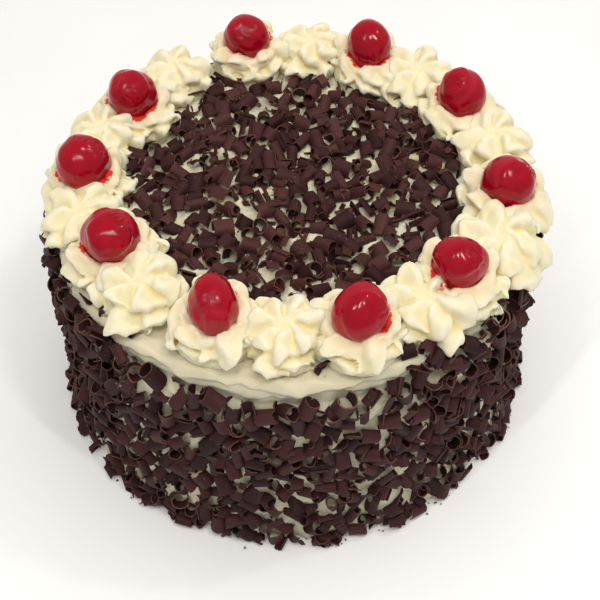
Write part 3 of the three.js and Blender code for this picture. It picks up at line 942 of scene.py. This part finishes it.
def ledge_curls():
    """The few curls lying on the cream ledge before the rosettes and in the gap behind."""
    rng = np.random.default_rng(SEEDS["ledge_curls"])
    degrees, distance = np.array(LEDGE_CURLS, dtype=float).T
    count = len(degrees)
    out = straight_up(count)
    radius = CURL_RADIUS * rng.uniform(0.7, 0.95, count)
    position = at_angle(np.radians(degrees), distance * MM, CAKE_TOP + 0.9 * radius)
    axis = random_axes(out, rng, 0.15)
    length = CURL_LENGTH * rng.uniform(0.8, 1.1, count)
    return shavings("ledge_curls", position, axis, out, length, radius, rng.uniform(3.6, 6.2, count),
                    rng, CHOCOLATE, across=16, lengthways=2)


def foot_curls():
    """Curls that slid down and lie against the foot of the cake."""
    rng = np.random.default_rng(SEEDS["foot_curls"])
    count = FOOT_CURLS
    outwards = at_angle(rng.uniform(0, WHOLE_TURN, count), 1, 0)
    out = straight_up(count)
    axis = random_axes(out, rng, 0.12)
    radius = CURL_RADIUS * rng.uniform(0.7, 1.0, count)
    length = CURL_LENGTH * rng.uniform(0.7, 1.1, count)
    along = np.abs(np.sum(axis * outwards, axis=1))
    furthest = FOOT_RADIUS - length / 2 * along - radius * np.sqrt(1 - along**2)
    position = outwards * (furthest - rng.uniform(0, 3.5, count) * MM)[:, None]
    position[:, 2] = 0.95 * radius
    return shavings("foot_curls", position, axis, out, length, radius, rng.uniform(2.4, 6.2, count),
                    rng, CHOCOLATE, across=14, lengthways=2)


def chocolate_on(where, count, even_places, keep_in, material):
    """The settled curls of the side or the top, as one piece for each kind."""
    rng = np.random.default_rng(SEEDS[where])
    position, out = even_places(count, rng)
    position = position + rng.normal(0, 1.2 * MM, position.shape)
    axis = random_axes(out, rng, 0.5)
    kind = rng.choice(len(KINDS), count, p=[k.share for k in KINDS])
    length = CURL_LENGTH * np.choose(kind, [k.length for k in KINDS]) * rng.uniform(0.72, 1.22, count)
    radius = CURL_RADIUS * np.choose(kind, [k.radius for k in KINDS]) * rng.uniform(0.72, 1.22, count)
    sweep = np.choose(kind, [rng.uniform(*k.sweep, count) for k in KINDS])
    solid = np.choose(kind, [k.solid for k in KINDS]) * radius
    half = length / 2 - 0.5 * solid
    keep = keep_in(axis, half, np.choose(kind, [k.depth for k in KINDS]) * radius)
    position = settle(position, axis, half, solid, keep)
    pieces = []
    for number, k in enumerate(KINDS):
        pick = kind == number
        pieces.append(shavings(
            f"{where}_{k.name}", position[pick], axis[pick], out[pick], length[pick], radius[pick],
            sweep[pick], rng, material, across=k.across, lengthways=2))
    return pieces


def flakes(name, position, out, size, material):
    """Thin broken flakes of chocolate, lying nearly flat."""
    rng = np.random.default_rng(SEEDS[name])
    count = len(position)
    axis = random_axes(out, rng, 0.45)
    length = size * rng.uniform(0.7, 1.4, count)
    radius = size * rng.uniform(0.6, 1.6, count)
    return shavings(name, position, axis, out, length, radius, rng.uniform(0.6, 1.8, count), rng,
                    material, across=3, lengthways=1)


def side_flakes(rng):
    """Flakes between the curls on the side."""
    count = SIDE_FLAKES
    angle = rng.uniform(0, WHOLE_TURN, count)
    height = rng.uniform(0.02, 0.97, count) * coat_top(angle)
    distance = CREAM_RADIUS + flare_at(height) + rng.uniform(0.5, 3.5, count) * MM
    position = at_angle(angle, distance, np.maximum(height, 2.5 * MM))
    return flakes("side_flakes", position, at_angle(angle, 1, 0), rng.uniform(2, 3.6, count) * MM, CHOCOLATE)


def top_flakes(rng):
    """Flakes between the curls on the top, thickest in the middle."""
    count = TOP_FLAKES
    distance = TOP_BED_RADIUS * np.sqrt(rng.uniform(0, 1, count)) ** 1.25
    angle = rng.uniform(0, WHOLE_TURN, count)
    height = CAKE_TOP + rng.uniform(0.8, 5.0, count) * MM
    size = rng.uniform(1.6, 3.4, count) * MM
    return flakes("top_flakes", BED_MIDDLE + at_angle(angle, distance, height), straight_up(count), size,
                  CHOCOLATE_FLAKE)


def foot_crumbs(rng):
    """Crumbs that fell round the foot."""
    count = FOOT_CRUMBS
    angle = rng.uniform(0, WHOLE_TURN, count)
    distance = CREAM_RADIUS + FOOT_FLARE + rng.uniform(1, 8, count) * MM
    size = rng.uniform(0.35, 0.8, count) * MM
    return flakes("foot_crumbs", at_angle(angle, distance, 0.4 * MM), straight_up(count), size,
                  CHOCOLATE_FLAKE)


def small_chocolate():
    """The flakes and crumbs."""
    rng = np.random.default_rng(SEEDS["small"])
    return side_flakes(rng), top_flakes(rng), foot_crumbs(rng)


# ---------- stage

FLOOR_HALF = 12
FLOOR_DROP = 0.2 * MM           # below the cake
DAYLIGHT = (1.0, 0.98, 0.96, 1)
WARM = (1.0, 0.97, 0.93)
WARM_STRIP = (1.0, 0.97, 0.92)
LIT_POINT = Vector((0, 0, 0.1))


def softbox(name, size, place, power, colour, mirrored=True):
    """An area light that faces the cake; mirrored is whether it shows on wet things."""
    data = bpy.data.lights.new(name, "AREA")
    data.shape, data.size, data.size_y = "RECTANGLE", *size
    data.energy, data.color = power, colour
    obj = bpy.data.objects.new(name, data)
    obj.location = place
    obj.rotation_euler = (LIT_POINT - Vector(place)).to_track_quat("-Z", "Y").to_euler()
    obj.visible_glossy = mirrored
    bpy.context.collection.objects.link(obj)


def pale_floor():
    """A wide plain floor."""
    n = Nodes("pale_floor")
    tone = n.ramp(n.noise(n.place(), 9), 0.3, 0.7, 0.93, 0.96)
    shade = n.add("ShaderNodeCombineColor", {0: tone, 1: tone, 2: tone})
    material = n.set(Base_Color=shade.outputs[0], Roughness=0.8)
    corners = [(x * FLOOR_HALF, y * FLOOR_HALF, 0) for x, y in ((-1, -1), (1, -1), (1, 1), (-1, 1))]
    floor = make_object("floor", corners, [(0, 1, 2, 3)], [material])
    floor.location.z = -FLOOR_DROP


def lights():
    """Pale daylight all round, two large soft lights, and small ones that the cherries mirror."""
    world = bpy.data.worlds.new("studio")
    world.use_nodes = True
    background = world.node_tree.nodes["Background"]
    background.inputs["Color"].default_value = DAYLIGHT
    background.inputs["Strength"].default_value = 0.42
    bpy.context.scene.world = world
    softbox("overhead", size=(1.3, 1.3), place=(0.12, 0.1, 1.25), power=7.4, colour=WARM, mirrored=False)
    softbox("front", size=(1.4, 1.0), place=(0.1, -1.3, 0.75), power=0.25, colour=WARM, mirrored=False)
    for number, x in enumerate((-0.43, 0.0, 0.40)):
        place = (x, -0.52 + 0.05 * number, 1.18)
        softbox(f"strip_{number}", size=(0.030, 0.34), place=place, power=2.2, colour=WARM_STRIP)
    softbox("lamp", size=(0.06, 0.06), place=(0.66, 0.13, 1.15), power=1.3, colour=WARM_STRIP)
    bpy.context.scene.view_settings.view_transform = "Standard"


# ---------- assembly

def box_of(node):
    """The middle and the size of a node's box."""
    low, high = (np.array(corner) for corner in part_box(node))
    return (low + high) / 2, high - low


camera()
pale_floor()
lights()
part_of_cake(cream_body(), "cream", "cake")
for piece in (*chocolate_on("side", SIDE_CURLS, places_on_side, keep_on_side, CHOCOLATE),
              *chocolate_on("top", TOP_CURLS, places_on_top, keep_on_top, CHOCOLATE_PAINTED_LIT),
              ledge_curls(), foot_curls(), *small_chocolate()):
    part_of_cake(piece, "chocolate", "cake")

for number in range(1, 21):
    middle, _ = box_of(f"rosette_{number:02d}")
    fruit = None
    if number in CHERRY_FORMS:
        middle, size = box_of(f"cherry_{number:02d}")
        fruit = (middle, size.mean())
        cherry(number, *fruit)
    rosette(number, middle, fruit)
